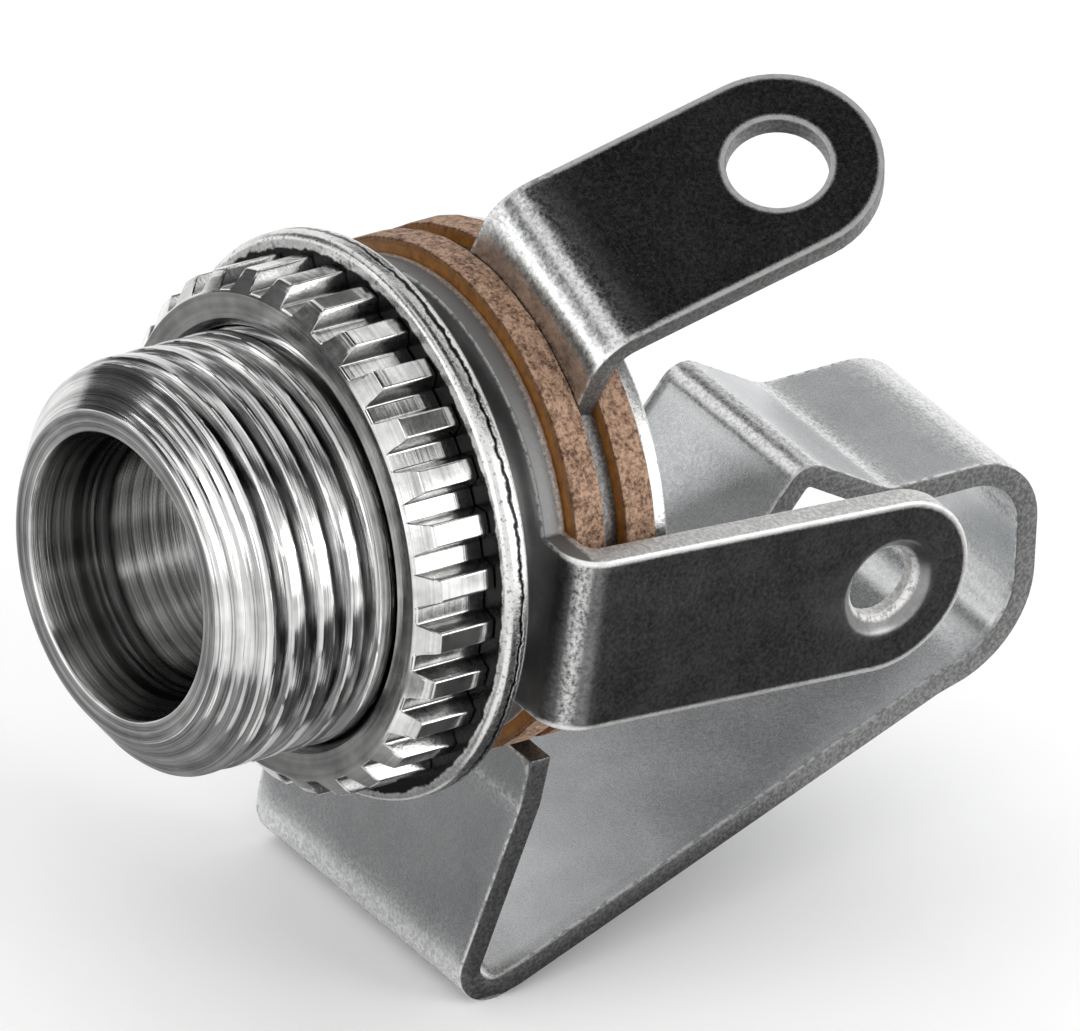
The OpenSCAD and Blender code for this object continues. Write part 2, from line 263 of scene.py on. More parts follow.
# The lathe leaves fine rings: noise over (radius, station) alone, broken up a little round the axis
lathe_rings, given, result = effect("lathe_rings", [("Rings per mm", 14.0), ("Break", 0.35)],
                                    ["Line", "Radius", "Station"])
apart = add_node(lathe_rings, "ShaderNodeSeparateXYZ", {}, [given["Vector"]]).outputs
from_axis = maths(lathe_rings, "SQRT", maths(lathe_rings, "ADD", maths(lathe_rings, "POWER", apart[0], 2.0),
                                             maths(lathe_rings, "POWER", apart[2], 2.0)))
wander = maths(lathe_rings, "MULTIPLY", noise(lathe_rings, given["Vector"], 1.3, 2.0), given["Break"])
across = add_node(lathe_rings, "ShaderNodeCombineXYZ", {}, [
    maths(lathe_rings, "MULTIPLY", from_axis, given["Rings per mm"]),
    maths(lathe_rings, "MULTIPLY", apart[1], given["Rings per mm"]), wander]).outputs[0]
lathe_rings.links.new(noise(lathe_rings, across, 1.0, 3.0, 0.6), result["Line"])
lathe_rings.links.new(from_axis, result["Radius"])
lathe_rings.links.new(apart[1], result["Station"])

# Plate is never even: broad clouds, and fine grain inside them
plate_grain, given, result = effect("plate_grain", [("Cloud", 1.6), ("Grain", 22.0)], ["Cloud", "Grain"])
plate_grain.links.new(noise(plate_grain, given["Vector"], given["Cloud"], 3.0), result["Cloud"])
plate_grain.links.new(noise(plate_grain, given["Vector"], given["Grain"], 4.0, 0.7), result["Grain"])

# Painted shade darkens the roots of the thread and the flared mouth of the bore, so the crests stand out bright
turned_nickel, tree, shader, coords = new_material("turned_nickel")
turned = place(tree, lathe_rings, {"Vector": coords, "Rings per mm": 12.0, "Break": 0.5})
rings, from_axis, station = turned["Line"], turned["Radius"], turned["Station"]
cloud = place(tree, plate_grain, {"Vector": coords, "Cloud": 1.2, "Grain": 16.0})["Cloud"]
shade = remap(tree, maths(tree, "ADD", rings, maths(tree, "MULTIPLY", cloud, 0.6)), 0.6, 1.0)
outside = blend_colour(tree, shade, (0.34, 0.34, 0.34, 1), (0.92, 0.92, 0.91, 1))
in_thread = maths(tree, "MULTIPLY", remap(tree, station, -4.45, -4.35),
                  remap(tree, station, -0.3, -0.1, 1.0, 0.0))
# Painted shade in the roots of the thread, between the crests
root_shade = maths(tree, "MULTIPLY", remap(tree, from_axis, 2.8, 2.91, 1.0, 0.0), in_thread)
tool_marks = place(tree, lathe_rings, {"Vector": coords, "Rings per mm": 34.0, "Break": 0.8})["Line"]
outside = blend_colour(tree, remap(tree, tool_marks, 0.40, 0.46, 0.7, 0.0), outside, (0.16, 0.16, 0.16, 1))
outside = blend_colour(tree, root_shade, outside, (0.13, 0.13, 0.13, 1))
bore = blend_colour(tree, remap(tree, rings, 0.36, 0.6), (0.25, 0.25, 0.25, 1), (0.86, 0.86, 0.85, 1))
# Painted shade in the flared mouth of the bore, darker than the bore behind it
mouth_shade = blend_colour(tree, remap(tree, rings, 0.42, 0.66), (0.10, 0.10, 0.10, 1), (0.45, 0.45, 0.44, 1))
bore = blend_colour(tree, remap(tree, from_axis, 1.8, 1.9), bore, mouth_shade)
in_bore = remap(tree, from_axis, 2.0, 2.06, 1.0, 0.0)
finish_metal(tree, shader, blend_colour(tree, in_bore, outside, bore),
             remap(tree, rings, 0.3, 0.7, 0.1, 0.2),
             maths(tree, "ADD", rings, maths(tree, "MULTIPLY", tool_marks, 0.4)), 0.000006)

thread_pitch, thread_depth = 0.5, 0.2
crest_share, root_share = 0.42, 0.05
thread_start_y = -0.35
bushing_low, bushing_high = span("bushing")
thread_r = bushing_high[0]


def thread_radius(y, angle):
    """Radius of a right-hand thread: a wide worn crest, a flank, a narrow root and a flank back.

    One pitch of y passes for one turn, so the profile is a function of y / pitch - angle / turn."""
    phase = (y / thread_pitch - angle / (2 * np.pi)) % 1
    off_crest = np.minimum(phase, 1 - phase)
    flank = (off_crest - crest_share / 2) / (0.5 - (crest_share + root_share) / 2)
    eased = np.clip(flank, 0, 1)
    crown = 0.03 * (off_crest / 0.5) ** 2
    cut = thread_depth * (eased - 0.06 * np.sin(2 * np.pi * eased)) + crown
    return np.where(y < thread_start_y, thread_r - cut, np.inf)


bore_r, tube_r, lip_r, core_r = 1.8, 2.3, 2.85, 2.75
nose_r, mouth_r, mouth_l, nose_bevel_l = 2.4, 2.08, 1.2, 0.55
relief_y, lip_y, rear_bevel = -0.5, 2.0, 0.15
nose_line_pitch, nose_line_depth = 0.125, 0.035
front_y, back_y = bushing_low[1], bushing_high[1]
bushing_outline = rounded_outline(
    [(mouth_r, front_y), (nose_r, front_y), (thread_r, front_y + nose_bevel_l), (thread_r, relief_y),
     (core_r, relief_y + 0.25), (core_r, 0), (tube_r, 0), (tube_r, lip_y), (lip_r, lip_y), (lip_r, back_y),
     (bore_r + rear_bevel, back_y), (bore_r, back_y - rear_bevel), (bore_r, front_y + mouth_l)],
    [0.05, 0.06, 0.12, 0.02, 0.05, 0.01, 0.02, 0.01, 0.12, 0.14, 0.04, 0.04, 0.3])
threaded = (bushing_outline[:, 0] > nose_r - 0.03) & (bushing_outline[:, 1] < relief_y)
bushing_outline = walked(bushing_outline, np.where(threaded, 0.021, 0.15))
turns = np.arange(240) * 2 * np.pi / 240
radius = np.minimum(bushing_outline[:, :1], thread_radius(bushing_outline[:, 1:], turns))

# Where the thread runs out over the nose bevel it leaves a few fine lines, each a shallow groove
line_phase = (bushing_outline[:, 1:] / nose_line_pitch - turns / (2 * np.pi)) % 1
on_bevel = (bushing_outline[:, :1] > nose_r + 0.04) & (bushing_outline[:, 1:] < front_y + nose_bevel_l + 0.1)
run_out = np.clip(1.6 * np.cos(turns - math.radians(85)), 0, 1)
radius = radius - nose_line_depth * on_bevel * run_out * np.clip(1 - 3 * np.abs(line_phase - 0.5), 0, 1)
points = ring_points(radius, bushing_outline[:, 1:], turns)
faces = outward(points.reshape(-1, 3), grid_faces(*radius.shape))
bushing = piece("bushing_turned", points.reshape(-1, 3), faces, turned_nickel)
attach(bushing, "socket")
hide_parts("bushing")

# Ring nut
# A turned brass ring with straight teeth for the fingers, a cone turned on their front ends,
# and an inside thread that follows the bushing's with a little play.
tooth_count, tooth_depth, nut_turned = 30, 0.26, 4
tooth_top, tooth_valley = 0.4, 0.36
nut_gap, nut_mouth, face_w = 0.03, 0.1, 0.37
cone_slope = math.tan(math.radians(42))
nut_edge, tooth_round = 0.035, 0.022
nut_low, nut_high = span("ring_nut")
nut_r = nut_high[2]


def tooth_radius(share):
    """Radius over one tooth, for a share of the pitch from -0.5 to 0.5 round the tooth's middle.

    A flat top, a sloping flank and a flat valley, averaged over a short window to round them."""
    window = np.linspace(-tooth_round, tooth_round, 9)
    off = np.abs((share[..., None] + window + 0.5) % 1 - 0.5)
    slope = (1 - tooth_valley) / 2 - tooth_top / 2
    return nut_r - tooth_depth * np.clip((off - tooth_top / 2) / slope, 0, 1).mean(-1)


half_tooth = np.array([0.04, 0.1, 0.155, 0.178, 0.19, 0.2, 0.21, 0.222, 0.24, 0.26, 0.28, 0.298,
                       0.31, 0.32, 0.33, 0.342, 0.37, 0.43])
shares = np.concatenate([-half_tooth[::-1], half_tooth])
tooth_turn = 2 * np.pi / tooth_count
turns = ((np.arange(tooth_count)[:, None] + shares) * tooth_turn
         - math.radians(nut_turned - 90)).ravel()
outer = np.tile(tooth_radius(shares), tooth_count)
inner = thread_r + nut_gap + nut_mouth
face_r = inner + face_w
rows = []
for share in np.linspace(0, 1, 4):
    rows.append((np.full_like(outer, inner + share * face_w), np.full_like(outer, nut_low[1])))
for share in (0.06, 0.3, 0.6, 0.9):
    r = face_r + (outer - nut_edge * 0.5 - face_r) * share
    rows.append((r, nut_low[1] + (r - face_r) * cone_slope))
cone_y = nut_low[1] + (outer - face_r) * cone_slope
for step in np.linspace(0, 1, 4):
    rows.append((outer - nut_edge * 0.5 * (1 - step) ** 2, cone_y + nut_edge * step ** 2))
for share in (0.35, 0.7):
    rows.append((outer, cone_y + (nut_high[1] - cone_y) * share))
for step in np.linspace(0, 1, 4):
    rows.append((outer - nut_edge * (1 - math.cos(step * math.pi / 2)),
                 np.full_like(outer, nut_high[1] - nut_edge * (1 - math.sin(step * math.pi / 2)))))
for share in (0.4, 0.8, 1):
    rows.append((outer - nut_edge + (inner - outer + nut_edge) * share, np.full_like(outer, nut_high[1])))
for y in np.linspace(nut_high[1], nut_low[1], 52)[1:-1]:
    cone = inner - min(nut_high[1] - y, y - nut_low[1])
    rows.append((np.maximum(thread_radius(y, turns) + nut_gap, cone), np.full_like(outer, y)))
points = np.stack([ring_points(r[None], y[None], turns)[0] for r, y in rows])
faces = outward(points.reshape(-1, 3), grid_faces(*points.shape[:2]))

nut_nickel, tree, shader, coords = new_material("nut_nickel")
turned = place(tree, lathe_rings, {"Vector": coords, "Rings per mm": 16.0, "Break": 0.3})
rings = turned["Line"]
grain = place(tree, plate_grain, {"Vector": coords, "Cloud": 2.0, "Grain": 12.0})
# Painted shade where each tooth flank meets the valley, read from a mask on the mesh
painted_valley_shade = add_node(tree, "ShaderNodeAttribute", {"attribute_name": "painted_valley_shade"}).outputs["Fac"]
shade = remap(tree, maths(tree, "ADD", maths(tree, "MULTIPLY", rings, 0.6), grain["Cloud"]), 0.55, 1.0)
on_tooth = remap(tree, turned["Radius"], face_r - 0.02, face_r + 0.03)
flat_ring = blend_colour(tree, shade, (0.26, 0.26, 0.26, 1), (0.56, 0.56, 0.55, 1))
plain = blend_colour(tree, on_tooth, flat_ring,
                     blend_colour(tree, shade, (0.46, 0.46, 0.45, 1), (0.93, 0.93, 0.92, 1)))
finish_metal(tree, shader, blend_colour(tree, painted_valley_shade, plain, (0.24, 0.24, 0.24, 1)),
             remap(tree, grain["Grain"], 0.3, 0.7, 0.12, 0.22),
             maths(tree, "ADD", rings, maths(tree, "MULTIPLY", grain["Grain"], 0.3)), 0.000003)
# The painted shade runs along the foot of each tooth flank, over the teeth and round their rear
foot = np.clip(1 - np.abs(np.abs(shares) - 0.3) / 0.045, 0, 1)
painted_valley_shade = np.zeros(points.shape[:2])
painted_valley_shade[8:-50] = np.tile(foot, tooth_count)
nut = piece("ring_nut_toothed", points.reshape(-1, 3), faces, nut_nickel,
            masks=[("painted_valley_shade", painted_valley_shade.ravel())])
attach(nut, "nut")
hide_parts("ring_nut")

# Front washer
# A stamped steel ring with nickel plate. Its rim is rolled at both corners, and the shear
# has left a dark ragged line round the middle of the rim.
washer_low, washer_high = span("front_washer")
washer_r, washer_bore_r, washer_round = washer_high[0], thread_r + 0.2, 0.12
washer_outline = walked(rounded_outline(
    [(washer_bore_r, washer_low[1]), (washer_r, washer_low[1]), (washer_r, washer_high[1]),
     (washer_bore_r, washer_high[1])], [0.04, washer_round, washer_round, 0.04], 8), 0.1)
points = turned_grid(washer_outline, 192)
faces = outward(points.reshape(-1, 3), grid_faces(*points.shape[:2]))

washer_nickel, tree, shader, coords = new_material("washer_nickel")
grain = place(tree, plate_grain, {"Vector": coords, "Cloud": 2.4, "Grain": 14.0})
apart = add_node(tree, "ShaderNodeSeparateXYZ", {}, [coords]).outputs
from_axis = maths(tree, "SQRT", maths(tree, "ADD", maths(tree, "POWER", apart[0], 2.0),
                                      maths(tree, "POWER", apart[2], 2.0)))
on_rim = remap(tree, from_axis, washer_r - 0.03, washer_r - 0.01)
ragged = maths(tree, "MULTIPLY", maths(tree, "SUBTRACT", noise(tree, coords, 5.0), 0.5), 0.16)
off_line = maths(tree, "ABSOLUTE", maths(tree, "SUBTRACT", maths(tree, "SUBTRACT", apart[1], ragged),
                                         (washer_low[1] + washer_high[1]) / 2 + 0.03))
shear = maths(tree, "MULTIPLY", on_rim, remap(tree, off_line, 0.015, 0.045, 1.0, 0.0))
plain = blend_colour(tree, grain["Cloud"], (0.56, 0.56, 0.55, 1), (0.94, 0.94, 0.93, 1))
plain = blend_colour(tree, remap(tree, grain["Grain"], 0.36, 0.44, 1.0, 0.0), plain, (0.32, 0.32, 0.32, 1))
# Painted shade, nearly black, on the front face round the nut's teeth, wider lower down; it joins the washer's own
# dark shear line
shade_wider_low = remap(tree, apart[2], 2.0, 3.2, 0.09, 0.0)
within_nut = maths(tree, "SUBTRACT", maths(tree, "ADD", from_axis, ragged), shade_wider_low)
nut_contact_shade = maths(tree, "MULTIPLY", remap(tree, apart[1], washer_low[1] + 0.004, washer_low[1] + 0.014, 1.0, 0.0),
                remap(tree, within_nut, nut_r + 0.06, nut_r + 0.09, 1.0, 0.0))
shear_and_nut_shade = maths(tree, "MAXIMUM", shear, nut_contact_shade)
finish_metal(tree, shader, blend_colour(tree, shear_and_nut_shade, plain, (0.012, 0.012, 0.012, 1)),
             remap(tree, grain["Grain"], 0.3, 0.7, 0.18, 0.3),
             maths(tree, "SUBTRACT", grain["Grain"], maths(tree, "MULTIPLY", shear, 2.0)), 0.000005)
front_washer = piece("front_washer_stamped", points.reshape(-1, 3), faces, washer_nickel)
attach(front_washer, "washer")
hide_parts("front_washer")


# Sleeve frame
# One blank of steel sheet with nickel plate: a ring that clamps under the bushing's shoulder,
# bent once into the side arm, which ends in a round pad with a dished eye for the wire.
def eye_patch(eye_r, end_r, near, edge_v, rim_w=0.0, turns_step=7):
    """A flat pad round an eye at (0, 0), as rows x columns of (u, v), from the eye outwards.

    The far side is an arc of end_r. The near side is the line u = -near, through the given
    points edge_v from high to low. Straight sides run from its ends and touch the arc, so a
    ray at an angle a reaches them at end_r / cos(a - b), where b is the angle of the touch."""
    high, low = edge_v[0], edge_v[-1]
    high_at, low_at = math.atan2(high, -near), math.atan2(low, -near) + 2 * np.pi
    high_touch = high_at - math.acos(end_r / math.hypot(near, high))
    low_touch = low_at + math.acos(end_r / math.hypot(near, low)) - 2 * np.pi
    step = math.radians(turns_step)

    def between(a, b):
        return np.linspace(a, b, max(2, math.ceil(abs(b - a) / step) + 1))[:-1]

    arc, upper = between(low_touch, high_touch), between(high_touch, high_at)
    edge = np.arctan2(edge_v, -near) % (2 * np.pi)
    lower = between(low_at, low_touch + 2 * np.pi)[1:]
    angle = np.concatenate([arc, upper, edge, lower])
    reach = np.concatenate([np.full(len(arc), end_r), end_r / np.cos(upper - high_touch),
                            np.hypot(near, edge_v), end_r / np.cos(lower - low_touch)])
    rim = np.array([0.0, 0.33, 0.66]) * rim_w if rim_w else np.array([])
    start = eye_r + rim_w
    radius = np.concatenate([np.repeat((eye_r + rim)[:, None], len(angle), 1) if rim_w
                             else np.empty((0, len(angle))),
                             start + (reach - start) * np.linspace(0, 1, 9)[:, None] ** 0.8])
    return radius * np.cos(angle), radius * np.sin(angle)


def ring_patch(hole_r, outer_of, angle, rows=6):
    """A flat ring from its hole out to a radius that depends on the angle, as (u, v)."""
    radius = hole_r + (outer_of(angle) - hole_r) * np.linspace(0, 1, rows)[:, None]
    return radius * np.cos(angle), radius * np.sin(angle)


def joined(patches):
    """Patches (grid, closed columns, bend highlight, matt and painted dark) as points, faces, edge distance and
    both masks.

    Points that two patches share along a seam become one. The distance is to the nearest
    open edge of the sheet, taken to its segments."""
    points, faces, bends, start = [], [], [], 0
    for grid, closed, *masks in patches:
        points.append(grid.reshape(-1, 3))
        bends.append(np.stack([np.broadcast_to(mask, grid.shape[:2]).ravel() for mask in masks], -1))
        faces.append(grid_faces(*grid.shape[:2], False, closed) + start)
        start += grid[..., 0].size
    points, faces, bends = np.concatenate(points), np.concatenate(faces), np.concatenate(bends)
    _, first, same = np.unique(np.round(points, 4), axis=0, return_index=True, return_inverse=True)
    faces = same.reshape(-1)[faces]
    points, bends = points[first], bends[first]
    sides = np.sort(np.stack([faces, np.roll(faces, -1, 1)], -1).reshape(-1, 2), 1)
    kinds, count = np.unique(sides, axis=0, return_counts=True)
    a, b = (points[kinds[count == 1, k]] for k in (0, 1))
    along = b - a
    share = np.einsum("pek,ek->pe", points[:, None] - a, along) / np.maximum((along ** 2).sum(1), 1e-12)
    off = points[:, None] - a - along * np.clip(share, 0, 1)[..., None]
    return points, faces, np.sqrt((off ** 2).sum(-1)).min(1), bends


def sheet_piece(name, patches, thickness, bevel, material, reshape=None):
    """A folded sheet: the patches of its middle surface, thickened both ways and bevelled.

    The modifiers run at one unit for a millimetre, where their limits suit so small a piece."""
    points, faces, distance, masks = joined(patches)
    mesh = bpy.data.meshes.new(name)
    mesh.from_pydata(points.tolist(), [], faces.tolist())
    for title, values in (("edge_distance", distance), ("bend", masks[:, 0]), ("dull_and_painted_reflection", masks[:, 1])):
        mesh.attributes.new(title, "FLOAT", "POINT").data.foreach_set("value", values)
    made = bpy.data.objects.new(name, mesh)
    bpy.context.scene.collection.objects.link(made)
    faced_alike(mesh)
    wall = made.modifiers.new("wall", "SOLIDIFY")
    wall.thickness, wall.offset, wall.use_even_offset = thickness, 0, True
    applied(made)
    faced_alike(made.data)
    if reshape:
        xyz = np.empty(len(made.data.vertices) * 3)
        made.data.vertices.foreach_get("co", xyz)
        made.data.vertices.foreach_set("co", reshape(xyz.reshape(-1, 3)).ravel())
    edge = made.modifiers.new("edge", "BEVEL")
    edge.width, edge.segments, edge.limit_method = bevel, 3, "ANGLE"
    edge.angle_limit = math.radians(38)
    applied(made)
    made.data.transform(Matrix.Scale(mm, 4))
    made.data.polygons.foreach_set("use_smooth", np.ones(len(made.data.polygons), bool))
    made.data.set_sharp_from_angle(angle=math.radians(40))
    made.data.materials.append(material)
    return made


def faced_alike(mesh):
    """Turns the faces of each shell the same way round, and outwards where the shell is closed."""
    work = bmesh.new()
    work.from_mesh(mesh)
    bmesh.ops.recalc_face_normals(work, faces=work.faces)
    work.to_mesh(mesh)
    work.free()


def applied(made):
    """Replaces an object's mesh with what its modifiers make of it."""
    graph = bpy.context.evaluated_depsgraph_get()
    old, made.data = made.data, bpy.data.meshes.new_from_object(made.evaluated_get(graph))
    made.modifiers.clear()
    bpy.data.meshes.remove(old)


def sheet_material(name, dark, light, rim, torn_dark, torn_light, cloud, bend_highlight_colour, rough,
                   burnish_y=-9.0):
    """Satin plate on a folded sheet: grainy faces, rough cut sides, a painted highlight on the bends and a painted
    highlight along the rounded edges.

    Where the matt mask is high the face is painted dark: partly plate that has been brushed and handled, partly
    painted shade and dark reflection.
    The punch has burnished the cut edges in front of burnish_y, so they are smooth and grey."""
    made, tree, shader, coords = new_material(name)
    grain = place(tree, plate_grain, {"Vector": coords, "Cloud": cloud, "Grain": 16.0})
    fine = noise(tree, coords, 34.0, 2.0, 0.6)
    distance = add_node(tree, "ShaderNodeAttribute", {"attribute_name": "edge_distance"}).outputs["Fac"]
    bend_highlight_mask = add_node(tree, "ShaderNodeAttribute", {"attribute_name": "bend"}).outputs["Fac"]
    dull_and_painted_reflection = add_node(tree, "ShaderNodeAttribute", {"attribute_name": "dull_and_painted_reflection"}).outputs["Fac"]
    ragged = maths(tree, "ADD", distance, maths(tree, "MULTIPLY", maths(tree, "SUBTRACT", fine, 0.5), 0.06))
    # The edge mask lays the rim colour as a painted highlight in a band along the rounded edges of each face
    edge = remap(tree, maths(tree, "SUBTRACT", ragged, maths(tree, "MULTIPLY", dull_and_painted_reflection, 0.04)),
                 0.03, 0.075, 1.0, 0.0)
    on_side = remap(tree, distance, 0.004, 0.016, 1.0, 0.0)
    torn = noise(tree, coords, 17.0, 4.0, 0.7)
    side = blend_colour(tree, remap(tree, torn, 0.42, 0.6), torn_dark, torn_light)
    station = add_node(tree, "ShaderNodeSeparateXYZ", {}, [coords]).outputs[1]
    burnt = remap(tree, maths(tree, "ADD", station, maths(tree, "MULTIPLY", torn, 0.12)),
                  burnish_y, burnish_y + 0.05, 1.0, 0.0)
    side = blend_colour(tree, burnt, side, (0.30, 0.30, 0.30, 1))
    burr = maths(tree, "MULTIPLY", remap(tree, noise(tree, coords, 7.0, 3.0, 0.6), 0.5, 0.58, 0.0, 0.7),
                 remap(tree, dull_and_painted_reflection, 0.5, 1.0, 1.0, 0.2))
    broad = noise(tree, coords, 0.35, 1.0, 0.4)
    mottle = remap(tree, maths(tree, "ADD", maths(tree, "ADD", grain["Cloud"], broad),
                               maths(tree, "MULTIPLY", grain["Grain"], 0.1)), 0.8, 1.3)
    rim = blend_colour(tree, maths(tree, "MAXIMUM", burr, remap(tree, dull_and_painted_reflection, 1.0, 1.5)), rim,
                       (0.24, 0.24, 0.24, 1))
    face = blend_colour(tree, mottle, dark, light)
    brushed = remap(tree, maths(tree, "ADD", grain["Grain"], maths(tree, "MULTIPLY", grain["Cloud"], 0.5)),
                    0.55, 0.95)
    # Where the mask is high the face is painted dark: partly brushed, handled plate, partly painted shade and dark
    # reflection
    face = blend_colour(tree, dull_and_painted_reflection, face, blend_colour(tree, brushed, (0.09, 0.09, 0.09, 1),
                                                       (0.23, 0.23, 0.235, 1)))
    # Painted highlight along the bends, broken up by the grain
    painted_bend_highlight = maths(tree, "MULTIPLY", bend_highlight_mask, remap(tree, grain["Grain"], 0.38, 0.6))
    face = blend_colour(tree, painted_bend_highlight, face, bend_highlight_colour)
    finish_metal(tree, shader, blend_colour(tree, on_side, blend_colour(tree, edge, face, rim), side),
                 maths(tree, "ADD", remap(tree, grain["Grain"], 0.3, 0.7, rough - 0.03, rough + 0.05),
                       maths(tree, "MULTIPLY", edge, 0.22)),
                 maths(tree, "ADD", maths(tree, "MULTIPLY", grain["Grain"], 0.12),
                       maths(tree, "MULTIPLY", torn, maths(tree, "MULTIPLY", on_side, 2.5))), 0.000004)
    return made


frame_t, frame_hole_r = 0.4, 2.35
arm_top, arm_bottom, arm_bend_mid = 1.2, -1.6, 0.4
arm_eye_r, arm_end_r, dish_w, dish_depth = 0.53, 1.38, 0.22, 0.2
frame_low, frame_high = span("sleeve_frame")
frame_r = -frame_low[0]
arm_x = frame_high[0] - frame_t / 2
bend_x = arm_x - arm_bend_mid
bend_y = frame_t / 2 + arm_bend_mid
eye_y, eye_z = frame_high[1] - arm_end_r, -0.54
edge_z = np.linspace(arm_top, arm_bottom, 12)


def frame_outer(angle):
    """Radius of the ring's outline: its circle, or the arm's root where that reaches further."""
    side = np.where(np.sin(angle) > 0, arm_top, arm_bottom)
    up = np.abs(side / np.where(np.abs(np.sin(angle)) < 1e-9, 1e-9, np.sin(angle)))
    out = np.where(np.cos(angle) > 0, bend_x / np.maximum(np.cos(angle), 1e-9), 0)
    return np.maximum(frame_r, np.minimum(out, up))


root = np.arctan2(edge_z, bend_x)
low_turn = math.asin(arm_bottom / frame_r)
high_turn = math.asin(arm_top / frame_r)
angle = np.concatenate([root[::-1], np.linspace(high_turn, low_turn + 2 * np.pi, 90)])
u, v = ring_patch(frame_hole_r, frame_outer, angle)
ring = np.stack([u, np.full_like(u, frame_t / 2), v], -1)
turn = np.linspace(0, np.pi / 2, 13)[:, None]
bend = np.stack(np.broadcast_arrays(bend_x + arm_bend_mid * np.sin(turn),
                                    bend_y - arm_bend_mid * np.cos(turn), edge_z), -1)
u, v = eye_patch(arm_eye_r, arm_end_r, eye_y - bend_y, edge_z - eye_z, dish_w)
arm = np.stack([np.full_like(u, arm_x), eye_y + u, eye_z + v], -1)


def dished(points):
    """Sinks the arm's outer face towards the eye, as a cone from the rim's width to its depth."""
    off = np.hypot(points[:, 1] - eye_y, points[:, 2] - eye_z)
    outer_face = points[:, 0] > arm_x + frame_t / 4
    sink = dish_depth * np.clip(1 - (off - arm_eye_r) / dish_w, 0, 1)
    points[:, 0] -= np.where(outer_face, sink, 0)
    return points


# The rim colour is a painted highlight along the rounded edges, and the bend colour a painted highlight on the
# fold
frame_nickel = sheet_material("frame_nickel", (0.30, 0.30, 0.30, 1), (0.50, 0.50, 0.50, 1),
                              (0.90, 0.89, 0.88, 1), (0.62, 0.62, 0.61, 1), (0.90, 0.89, 0.88, 1), 1.5,
                              (0.66, 0.66, 0.65, 1), 0.34, burnish_y=0.32)
# The masks paint a highlight stripe round the middle of the bend, and darken the ring a little, the bend more and
# the arm fully; part of that darkness is handled matt plate, part painted shade and dark reflection
sleeve = sheet_piece("sleeve_frame_folded", [
    (ring, True, 0.0, 0.4), (bend, False, np.clip(8 * np.sin(2 * turn) - 7, 0, 1),
                             np.clip(0.4 + turn / turn[-1] * 3, 0, 1)),
    (arm, True, 0.0, np.where(np.arange(len(arm)) < 4, 0.6, 1.0)[:, None])], frame_t, 0.05, frame_nickel, dished)
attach(sleeve, "socket")
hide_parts("sleeve_frame")


# Front insulator
# A washer punched from brown fibre board. Its faces are smooth and dark, and the punched
# edge is pale, rough and full of torn fibres.
def board_piece(name, node, hole_r, wave):
    """A board washer with slightly uneven punched edges: its radius wanders by a few waves."""
    low, high = span(node)
    outer_r = high[2]
    outline = walked(rounded_outline([(hole_r, low[1]), (outer_r, low[1]), (outer_r, high[1]),
                                      (hole_r, high[1])], [0.02, 0.035, 0.035, 0.02], 4), 0.06)
    angle = np.arange(360) * 2 * np.pi / 360
    ripple = sum(np.sin(angle * k + wave * k * k) for k in (7, 19, 43)) / 3
    inward = 0.012 * (1 + ripple) * (outline[:, :1] > outer_r - 0.1)
    points = ring_points(outline[:, :1] - inward, outline[:, 1:], angle)
    on_edge = np.repeat(np.clip((outline[:, 0] - outer_r + 0.05) / 0.04, 0, 1), len(angle))
    faces = outward(points.reshape(-1, 3), grid_faces(*points.shape[:2]))
    made = piece(name, points.reshape(-1, 3), faces, brown_board, masks=[("punched_edge", on_edge)])
    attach(made, "socket")
    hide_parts(node)
    return made


brown_board, tree, shader, coords = new_material("brown_board")
punched = add_node(tree, "ShaderNodeAttribute", {"attribute_name": "punched_edge"}).outputs["Fac"]
fibres = noise(tree, coords, 5.5, 4.0, 0.75)
specks = noise(tree, coords, 17.0, 3.0, 0.7)
torn = blend_colour(tree, remap(tree, maths(tree, "ADD", fibres, specks), 0.82, 1.15),
                    (0.11, 0.05, 0.025, 1), (0.52, 0.33, 0.22, 1))
smooth = blend_colour(tree, remap(tree, fibres, 0.3, 0.7), (0.17, 0.055, 0.006, 1), (0.36, 0.15, 0.02, 1))
tree.links.new(blend_colour(tree, punched, smooth, torn), shader.inputs["Base Color"])
tree.links.new(remap(tree, punched, 0.0, 1.0, 0.42, 0.7), shader.inputs["Roughness"])
bump = add_node(tree, "ShaderNodeBump", {}, {"Strength": 1.0, "Distance": 0.00005, "Height": maths(
    tree, "MULTIPLY", maths(tree, "ADD", fibres, specks), remap(tree, punched, 0.0, 1.0, 0.15, 1.0))})
tree.links.new(bump.outputs[0], shader.inputs["Normal"])
board_piece("front_insulator_board", "front_insulator", 2.35, 1.0)

# Tip contact
# One springy strip of sheet with nickel plate. A ring in the stack carries a solder lug above
# and, below, a wide wall that folds back under the socket, curls up and returns to the crest.
contact_t = 0.35
contact_low, contact_high = span("tip_contact")
contact_mid_y = 0.9 + contact_t / 2
contact_hole_r, contact_r = 2.75, 3.5
lug_turned, lug_w, lug_rise, lug_slope = math.radians(19.5), 3.0, 4.53, math.radians(20)
lug_bend_r, lug_reach, lug_eye_r = 0.45 + contact_t / 2, 3.6, 0.73
lug_root = math.sqrt(contact_r ** 2 - (lug_w / 2) ** 2)
strip_root = -(contact_hole_r + contact_r) / 2
chord = math.sqrt(contact_r ** 2 - strip_root ** 2)
strip_shift, strip_drop, strip_reach, strip_slope = 0.35, 7.35, 10.6, math.radians(16.8)
strip_lean, curl_lean, strip_top_z = math.radians(9), math.radians(5), -1.33
lean_z, crest_y, crest_h = -3.93, 6.3, 0.83
crest_slope, flap_slope, flap_l = math.radians(29), math.radians(55), 2.4


